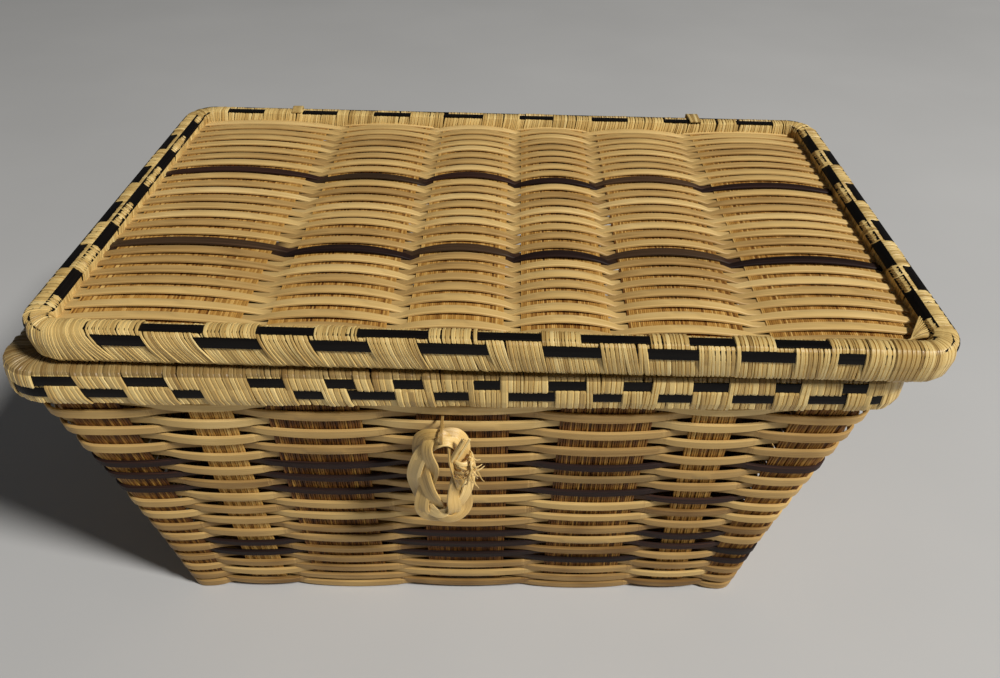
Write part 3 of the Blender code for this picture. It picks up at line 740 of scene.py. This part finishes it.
def add_corner_fan(raffia):
    """Loose ends of raffia that fan out inside the lid's front right corner."""
    rng = np.random.default_rng(61)
    foot = np.array((LID_LENGTH / 2 - 11.5 * MM, -LID_DEPTH / 2 + 9 * MM, LID_PANEL + 1.6 * MM))
    for share in np.linspace(0, 1, 12):
        tip = np.array((
            LID_LENGTH / 2 - between(6.8, 5.2, share) * MM, -LID_DEPTH / 2 + between(17, 8.5, share) * MM,
            LID_RIM_HEIGHT - between(1.2, 1.8, share) * MM,
        ))
        reach = np.linspace(0, 1, 6)[:, None]
        path = foot + (tip - foot) * reach
        path[:, 2] += np.sin(math.pi * reach[:, 0]) * 0.8 * MM
        path[0, :2] += rng.normal(0, 0.3, 2) * MM
        wide = np.linspace(0.3, 0.45, 6) * MM
        raffia.add(path, (-0.5, -0.2, 1), wide, 0.3 * MM, SPLINT_SECTION, rng.uniform(0, 0.8))


# Closing loop: a flat braid of three straws
LOOP_HALF_WIDTH = 5.1 * MM
LOOP_HALF_HEIGHT = 14.4 * MM
LOOP_MIDDLE = LOOP_AXIS + Vector((0, 0, -LOOP_HALF_HEIGHT))
BRAID_SWAY = 2.8 * MM  # how far a straw swings to either side of the braid's middle
BRAID_LIFT = 0.55 * MM
STRAW_WIDTH = 4.1 * MM
STRAW_THICKNESS = 0.55 * MM


def loop_line(turn):
    """Centre of the braid, the way across it and out of its broad face, at this angle round the ring."""
    c, s = np.cos(turn), np.sin(turn)
    x = LOOP_HALF_WIDTH * c * (1 + np.where(s > 0, 0.55, 0.36) * s ** 2)
    z = LOOP_HALF_HEIGHT * s
    middle = np.column_stack((LOOP_MIDDLE.x + x, np.full(len(turn), LOOP_MIDDLE.y), LOOP_MIDDLE.z + z))
    radial = unit(np.column_stack((c / LOOP_HALF_WIDTH, np.zeros(len(turn)), s / LOOP_HALF_HEIGHT)))
    # The face turns away from the front, least on the left and at the bottom
    lean = np.radians(between(44, 22, 0.5 - 0.5 * c) + 20 * s * np.abs(s))
    forward = np.array((0, -1.0, 0))
    across = -radial * np.cos(lean)[:, None] + forward * np.sin(lean)[:, None]
    face = radial * np.sin(lean)[:, None] + forward * np.cos(lean)[:, None]
    return middle, across, face


def braid():
    straws = Strands()
    turn = np.linspace(0, 2 * math.pi, 160, endpoint=False)
    middle, across, face = loop_line(turn)
    # The braid narrows where it is tied, and a little at the bottom
    gather = 1 - 0.42 * np.exp(-(((turn - math.pi / 2) / 0.7) ** 2))
    gather = gather - 0.16 * np.exp(-(((turn - 1.5 * math.pi) / 0.5) ** 2))
    for strand in range(3):
        phase = 2 * turn + 0.3 + strand * 2 * math.pi / 3
        sideways = BRAID_SWAY * np.arcsin(0.94 * np.sin(phase)) / math.asin(0.94) * gather
        outward = BRAID_LIFT * np.sin(2 * phase)
        path = middle + across * sideways[:, None] + face * outward[:, None]
        # depth paints shade where a straw dives under the others
        straws.add(
            path, face, STRAW_WIDTH * gather, STRAW_THICKNESS, STRAW_SECTION, 0.2 + 0.28 * strand,
            depth=0.5 - 0.4 * np.sin(2 * phase), closed=True,
        )
    return straws


def knot():
    """Loose ends of the braid, wound round its right side and frayed."""
    rng = np.random.default_rng(31)
    fibres = Strands()
    heart = np.array(LOOP_MIDDLE) + (LOOP_HALF_WIDTH + 0.3 * MM, -0.6 * MM, 6.4 * MM)
    for _ in range(18):
        angle = rng.uniform(0, 2 * math.pi) + np.linspace(0, rng.uniform(2.5, 5.5), 14)
        radius = rng.uniform(2.6, 3.6) * MM
        rise = rng.uniform(-3.4, 2.8) * MM + radius * np.cos(angle) * rng.uniform(-0.9, 0.3)
        x, y = radius * np.cos(angle) * 0.8, radius * np.sin(angle)
        path = np.column_stack((x, y, rise)) + heart
        wide, tone = rng.uniform(0.4, 1.1) * MM, rng.uniform(0, 1)
        fibres.add(path, path - heart, wide, 0.25 * MM, SPLINT_SECTION, tone)
    for _ in range(26):
        heading = rng.uniform(-2.6, 0.5)
        away = rng.uniform(3.5, 8) * MM
        reach = np.linspace(0, 1, 9)
        begin = np.array((rng.uniform(1.2, 2.8), rng.uniform(-3.6, -1.2), rng.uniform(-3, 3.5))) * MM
        fall = away * math.sin(heading) * reach ** 1.3
        path = heart + begin + np.column_stack((
            away * 0.42 * math.cos(heading) * reach,
            -0.8 * MM * np.sin(math.pi * reach),
            fall + rng.normal(0, 0.5) * MM * np.sin(5 * reach),
        ))
        wide = np.linspace(rng.uniform(0.35, 0.7), 0.2, 9) * MM
        fibres.add(path, (0, -1, 0.2), wide, 0.2 * MM, SPLINT_SECTION, rng.uniform(0, 1))
    for _ in range(12):
        reach = np.linspace(0, 1, 8)
        path = np.array(LOOP_MIDDLE) + MM * np.column_stack((
            2.6 + 3.2 * reach + rng.normal(0, 0.4),
            -2.6 - rng.normal(0, 0.4) - 0.4 * reach,
            8.6 + 7.4 * reach + rng.normal(0, 0.3),
        ))
        fibres.add(path, (0, -1, 0), 0.7 * MM, 0.35 * MM, SPLINT_SECTION, rng.uniform(0.3, 1))
    return fibres


def staple():
    """A thin straw out of the wall and round the top of the loop."""
    fibre = Strands()
    turn = np.linspace(math.radians(70), math.radians(290), 16)
    x = LOOP_AXIS.x
    y, z = LOOP_AXIS.y + 2.2 * MM * np.cos(turn), LOOP_AXIS.z + 2.3 * MM * np.sin(turn)
    path = np.column_stack((np.full(len(turn), x), y, z))
    ends = [(x, LOOP_AXIS.y + 6.4 * MM, LOOP_AXIS.z + side * 1.6 * MM) for side in (1, -1)]
    path = np.vstack((ends[0], path, ends[1]))
    out = path - np.array(LOOP_AXIS)
    # its depth adds painted shade all along it
    fibre.add(path, out, 0.8 * MM, 0.3 * MM, SPLINT_SECTION, 0.1, dye=0.2, depth=0.7)
    return fibre


def tie(x, lid_back, seed):
    """Raffia strands over the lid's rim, down behind both rims and in under the body's rim."""
    rng = np.random.default_rng(seed)
    strands = Strands()
    back = max(lid_back, RIM_DEPTH / 2) + TIE_GAP + 0.1 * MM
    over = LID_BOTTOM + LID_RIM_HEIGHT + TIE_GAP
    under = WALL_HEIGHT - TIE_GAP
    cut = 1.6 * MM  # off each bend
    route = [
        (lid_back - 6 * MM, over - 0.3 * MM), (lid_back - 3 * MM, over),
        (back - cut, over), (back - cut / 4, over - cut / 4), (back, over - cut),
        *((back, between(over, under, share)) for share in (0.25, 0.5, 0.75)),
        (back, under + cut), (back - cut / 4, under + cut / 4), (back - cut, under),
        (RIM_DEPTH / 2 - 1 * MM, under), (RIM_DEPTH / 2 - 2.5 * MM, under),
    ]
    middle = np.array((x, RIM_DEPTH / 2 - 4 * MM, (over + under) / 2))
    for number in range(4):
        shift = (number - 1.5) * 0.85 * MM
        lean = rng.normal(0, 0.5) * MM
        sway = [x + shift + lean * math.sin(0.5 * step) for step in range(len(route))]
        path = np.column_stack((sway, route))
        out = path - middle
        out[:, 0] = 0
        strands.add(path, out, 1.15 * MM, 0.4 * MM, SPLINT_SECTION, rng.uniform(0, 1))
    return strands


# Finishes
class Value:
    """A number that varies over a surface: each sum with it adds a Math node."""

    def __init__(self, finish, socket):
        self.finish = finish
        self.socket = socket

    def sum(self, operation, first, second):
        node = self.finish.node("ShaderNodeMath", {"operation": operation}, {0: first, 1: second})
        return Value(self.finish, node.outputs[0])

    def __add__(self, other):
        return self.sum("ADD", self, other)

    def __sub__(self, other):
        return self.sum("SUBTRACT", self, other)

    def __rsub__(self, other):
        return self.sum("SUBTRACT", other, self)

    def __mul__(self, other):
        return self.sum("MULTIPLY", self, other)

    __radd__ = __add__
    __rmul__ = __mul__


class Finish:
    """A material in the making."""

    def __init__(self, name):
        self.material = bpy.data.materials.new(name)
        self.material.use_nodes = True
        self.tree = self.material.node_tree
        self.shader = self.tree.nodes["Principled BSDF"]

    def node(self, kind, settings=None, sockets=None):
        """Any node: its settings are set first, then the values or links of its sockets."""
        node = self.tree.nodes.new(kind)
        for name, value in (settings or {}).items():
            if name == "stops":
                ramp = node.color_ramp
                while len(ramp.elements) < len(value):
                    ramp.elements.new(0.5)
                for element, (position, colour) in zip(ramp.elements, value):
                    element.position = position
                    element.color = (*colour, 1)
            else:
                setattr(node, name, value)
        for name, value in (sockets or {}).items():
            self.feed(node.inputs[name], value)
        return node

    def feed(self, socket, value):
        if isinstance(value, Value):
            self.tree.links.new(value.socket, socket)
        elif isinstance(value, bpy.types.NodeSocket):
            self.tree.links.new(value, socket)
        else:
            socket.default_value = value

    def attribute(self, name):
        return Value(self, self.node("ShaderNodeAttribute", {"attribute_name": name}).outputs["Fac"])

    def noise(self, vector, scale, detail=2.0, roughness=0.5):
        sockets = {"Vector": vector, "Scale": scale, "Detail": detail, "Roughness": roughness}
        return Value(self, self.node("ShaderNodeTexNoise", None, sockets).outputs["Fac"])

    def fibre_space(self, along, around, tone):
        """The strand's own map, drawn out along it and different on each."""
        uv = self.node("ShaderNodeUVMap", {"uv_map": "fibre"})
        parts = self.node("ShaderNodeSeparateXYZ", None, {0: uv.outputs[0]})
        u, v = Value(self, parts.outputs[0]), Value(self, parts.outputs[1])
        sockets = {0: u * along, 1: v * around, 2: tone * 57.0}
        return self.node("ShaderNodeCombineXYZ", None, sockets).outputs[0]

    def ramp(self, value, stops):
        return self.node("ShaderNodeValToRGB", {"stops": stops}, {0: value}).outputs[0]

    def mix(self, share, first, second):
        sockets = {0: share, 6: first, 7: second}
        return self.node("ShaderNodeMix", {"data_type": "RGBA"}, sockets).outputs[2]

    def limit(self, value, low, high):
        node = self.node("ShaderNodeMapRange", None, {0: value, 1: low, 2: high})
        return Value(self, node.outputs[0])

    def bump(self, height, strength, distance):
        sockets = {"Height": height, "Strength": strength, "Distance": distance}
        return self.node("ShaderNodeBump", None, sockets).outputs[0]

    def surface(self, colour, roughness, normal=None, **constants):
        self.feed(self.shader.inputs["Base Color"], colour)
        self.feed(self.shader.inputs["Roughness"], roughness)
        if normal is not None:
            self.feed(self.shader.inputs["Normal"], normal)
        for name, value in constants.items():
            self.shader.inputs[name.replace("_", " ")].default_value = value
        return self.material


def fibre_finish(name, stops, streak_width, streak_share, roughness, bump, shine, painted_shade=0.55):
    """Plant fibre: tone by strand, streaks and fine grain along it, painted shade where it dives under
    others.
    """
    finish = Finish(name)
    tone, dye, depth = finish.attribute("tone"), finish.attribute("dye"), finish.attribute("depth")
    coarse = finish.noise(finish.fibre_space(28.0, 1 / streak_width, tone), 1.0, 3.0, 0.6)
    fine = finish.noise(finish.fibre_space(70.0, 4 / streak_width, tone), 1.0, 2.0, 0.5)
    patches = finish.noise(finish.fibre_space(45.0, 40.0, tone), 1.0, 2.0, 0.6)
    shade = tone * (1 - streak_share) + coarse * streak_share + (patches - 0.5) * 0.5 + (fine - 0.5) * 0.3
    natural = finish.ramp(shade, stops)
    dyed = finish.ramp(coarse * 0.7 + tone * 0.3, DYED)
    colour = finish.mix(dye, natural, dyed)
    # painted shade, led by the depth attribute: where a strand dives under others, and the lid's shadow on
    # the body's rim
    shadow = finish.limit(depth, 0.45, 1.0) * painted_shade * (0.6 + patches * 0.6)
    colour = finish.mix(shadow, colour, PAINTED_SHADE_COLOUR)
    height = coarse * 0.5 + fine * 0.5
    gloss = roughness + dye * 0.12 + (coarse - 0.5) * 0.25
    return finish.surface(colour, gloss, finish.bump(height, bump, 0.12 * MM), Specular_IOR_Level=shine)


# colour of the painted shade
PAINTED_SHADE_COLOUR = (0.1, 0.052, 0.02, 1)
DYED = ((0.25, (0.007, 0.003, 0.0025)), (0.5, (0.024, 0.0105, 0.008)), (0.8, (0.09, 0.036, 0.018)))
CANE_STOPS = (
    (0.04, (0.2, 0.105, 0.03)), (0.3, (0.46, 0.285, 0.1)), (0.6, (0.65, 0.44, 0.165)),
    (0.9, (0.82, 0.6, 0.27)),
)
SPLINT_STOPS = (
    (0.1, (0.05, 0.016, 0.005)), (0.32, (0.2, 0.078, 0.014)), (0.6, (0.5, 0.27, 0.06)),
    (0.9, (0.74, 0.49, 0.16)),
)
RAFFIA_STOPS = (
    (0.1, (0.17, 0.085, 0.016)), (0.33, (0.5, 0.325, 0.105)), (0.6, (0.76, 0.55, 0.21)),
    (0.9, (0.92, 0.74, 0.37)),
)
STRAW_STOPS = (
    (0.15, (0.42, 0.24, 0.06)), (0.4, (0.68, 0.45, 0.15)), (0.65, (0.85, 0.6, 0.24)),
    (0.9, (0.95, 0.76, 0.38)),
)
BLACK_STOPS = ((0.2, (0.0015, 0.0012, 0.0012)), (0.5, (0.004, 0.0032, 0.003)), (0.9, (0.014, 0.011, 0.009)))
ROD_STOPS = ((0.3, (0.16, 0.09, 0.035)), (0.55, (0.33, 0.21, 0.09)), (0.8, (0.45, 0.31, 0.15)))


def dress_rods(material_name, nodes):
    """The hidden rods keep their own mesh: peeled wood with grain in place of a fibre map."""
    finish = Finish(material_name)
    coordinates = finish.node("ShaderNodeTexCoord").outputs["Object"]
    grain = finish.noise(coordinates, 900.0, 4.0, 0.6)
    broad = finish.noise(coordinates, 90.0, 2.0, 0.5)
    colour = finish.ramp(grain * 0.5 + broad * 0.5, ROD_STOPS)
    material = finish.surface(colour, 0.6 + (grain - 0.5) * 0.2, finish.bump(grain, 0.3, 0.1 * MM))
    for node in nodes:
        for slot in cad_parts[node].material_slots:
            slot.material = material


def stake_names(name, count):
    return [f"{name}_{number}" for number in range(1, count + 1)]


def build_basket():
    cane = fibre_finish("light cane", CANE_STOPS, 0.38 * MM, 0.45, 0.48, 0.45, shine=0.2, painted_shade=0.7)
    splint = fibre_finish("amber splint", SPLINT_STOPS, 0.35 * MM, 0.3, 0.55, 0.4, shine=0.25)
    raffia = fibre_finish("pale raffia", RAFFIA_STOPS, 0.3 * MM, 0.55, 0.36, 0.9, shine=0.45, painted_shade=0.7)
    black = fibre_finish("black strip", BLACK_STOPS, 0.3 * MM, 0.6, 0.45, 0.6, shine=0.14)
    straw = fibre_finish("golden straw", STRAW_STOPS, 0.3 * MM, 0.5, 0.32, 0.9, shine=0.5)

    walls = wall_canes().make("woven_wall_canes", cane)
    weaves = [f"{wall}_wall_weave" for wall in ("front", "right", "back", "left")]
    place(walls, "basket", "light_cane", *weaves)
    base = base_canes().make("woven_base_canes", cane, BASE_PLACE)
    place(base, "basket", "light_cane", "base_weave")
    lid = lid_canes().make("woven_lid_canes", cane, PANEL_PLACE)
    place(lid, "lid", "light_cane", "lid_weave")

    crosswise = stakes(CROSSWISE_STAKES, False, CROSSWISE_LEVEL, 3)
    add_corner_splints(crosswise)
    crosswise = crosswise.make("crosswise_splints", splint)
    place(crosswise, "basket", "amber_splint", *stake_names("crosswise_stake", 7))
    lengthwise = stakes(LENGTHWISE_STAKES, True, LENGTHWISE_LEVEL, 4).make("lengthwise_splints", splint)
    place(lengthwise, "basket", "amber_splint", *stake_names("lengthwise_stake", 4))
    under_lid = lid_splints().make("lid_splints", splint, PANEL_PLACE)
    place(under_lid, "lid", "amber_splint", *stake_names("lid_stake", 6))

    rim = Rim(RIM_LENGTH, RIM_DEPTH, RIM_CORNER, RIM_WIDTH, RIM_HEIGHT, WALL_HEIGHT, RIM_POWER, (0, 0, 0, 0))
    strips = rim.outer(UPPER_STRIP), rim.outer(LOWER_STRIP)
    # 1: the top of this rim gets the painted shadow of the lid
    bound = wraps(rim, strips, (UPPER_WINDOWS, LOWER_WINDOWS), BODY_SLANT, BODY_FIBRE, 1, 41)
    place(bound.make("rim_raffia", raffia), "basket", "pale_raffia", "rim_binding")
    for name, reach in zip(("upper", "lower"), strips):
        band = strip(rim, reach).make(f"rim_{name}_strip", black)
        place(band, "basket", "black_strip", f"rim_black_strip_{name}")

    size = LID_LENGTH, LID_DEPTH, LID_CORNER, LID_RIM_WIDTH, LID_RIM_HEIGHT
    rim = Rim(*size, 0, LID_RIM_POWER, LID_STRIPS_INWARD)
    strips = rim.outer(SHOULDER_STRIP), rim.top(INNER_STRIP)
    bound = wraps(rim, strips, (LID_OUTER_WINDOWS, LID_INNER_WINDOWS), LID_SLANT, LID_FIBRE, 0, 43)
    add_corner_fan(bound)
    place(bound.make("lid_raffia", raffia, LID_PLACE), "lid", "pale_raffia", "lid_binding")
    for name, reach in zip(("outer", "inner"), strips):
        band = strip(rim, reach).make(f"lid_{name}_strip", black, LID_PLACE)
        place(band, "lid", "black_strip", f"lid_black_strip_{name}")

    place(braid().make("braided_loop", straw), "loop", "golden_straw", "closing_loop")
    place(knot().make("frayed_knot", straw), "loop", "golden_straw", "loop_knot")
    place(staple().make("loop_tie", straw), "basket", "golden_straw", "loop_staple")

    for name, reach, seed in (("left", -TIE_REACH, 51), ("right", TIE_REACH, 52)):
        x = LID_MIDDLE.x + reach * math.cos(LID_TURN)
        lid_back = LID_MIDDLE.y + LID_DEPTH / 2 * math.cos(LID_TURN) + reach * math.sin(LID_TURN)
        piece = tie(x, lid_back, seed).make(f"{name}_tie", raffia)
        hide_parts(f"hinge_tie_{name}")
        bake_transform(piece)
    dress_rods("peeled rod", ("rim_outer_hoop", "rim_inner_hoop", "lid_hoop"))


FLOOR_STOPS = ((0.3, (0.52, 0.525, 0.53)), (0.7, (0.56, 0.565, 0.57)))
SKY_COLOUR = (0.97, 0.98, 1.0, 1)
SKY_STRENGTH = 0.06
LAMP_PLACE = Vector((1.4, -1.07, 1.83))
LAMP_TARGET = Vector((0, 0, 0.06))
LAMP_SIZE = 0.42
LAMP_POWER = 66
LAMP_COLOUR = (1.0, 0.97, 0.92)
CAMERA_PLACE = Vector((6.98 * MM, -239.5 * MM, 241.5 * MM))
CAMERA_TURNS = ((-1.06, "Z"), (54.53, "X"), (1.21, "Z"))  # degrees, from the outermost to the innermost
CAMERA_LENS = 31.68  # mm on a frame 36 mm wide


def build_studio():
    """A plain pale floor, one soft lamp, a dim sky and the photograph's camera."""
    bm = bmesh.new()
    bmesh.ops.create_grid(bm, x_segments=8, y_segments=8, size=4)
    mesh = bpy.data.meshes.new("floor")
    bm.to_mesh(mesh)
    bm.free()
    finish = Finish("floor")
    coordinates = finish.node("ShaderNodeTexCoord").outputs["Object"]
    colour = finish.ramp(finish.noise(coordinates, 6.0, 3.0), FLOOR_STOPS)
    mesh.materials.append(finish.surface(colour, 0.9))
    floor = added("floor", mesh)

    world = bpy.data.worlds.new("studio")
    bpy.context.scene.world = world
    world.use_nodes = True
    background = world.node_tree.nodes["Background"]
    background.inputs["Color"].default_value = SKY_COLOUR
    background.inputs["Strength"].default_value = SKY_STRENGTH

    light = bpy.data.lights.new("key", "AREA")
    light.shape = "DISK"
    light.size = LAMP_SIZE
    light.energy = LAMP_POWER
    light.color = LAMP_COLOUR
    lamp = added("key", light)
    lamp.location = LAMP_PLACE
    lamp.rotation_euler = (LAMP_TARGET - LAMP_PLACE).to_track_quat("-Z", "Y").to_euler()

    camera = added("camera", bpy.data.cameras.new("camera"))
    camera.data.sensor_width = 36
    camera.data.lens = CAMERA_LENS
    camera.data.clip_start = 0.01
    pose = Matrix.Translation(CAMERA_PLACE)
    for angle, axis in CAMERA_TURNS:
        pose = pose @ Matrix.Rotation(math.radians(angle), 4, axis)
    camera.matrix_world = pose
    bpy.context.scene.camera = camera
    bpy.context.scene.view_settings.view_transform = "Standard"


build_basket()
build_studio()
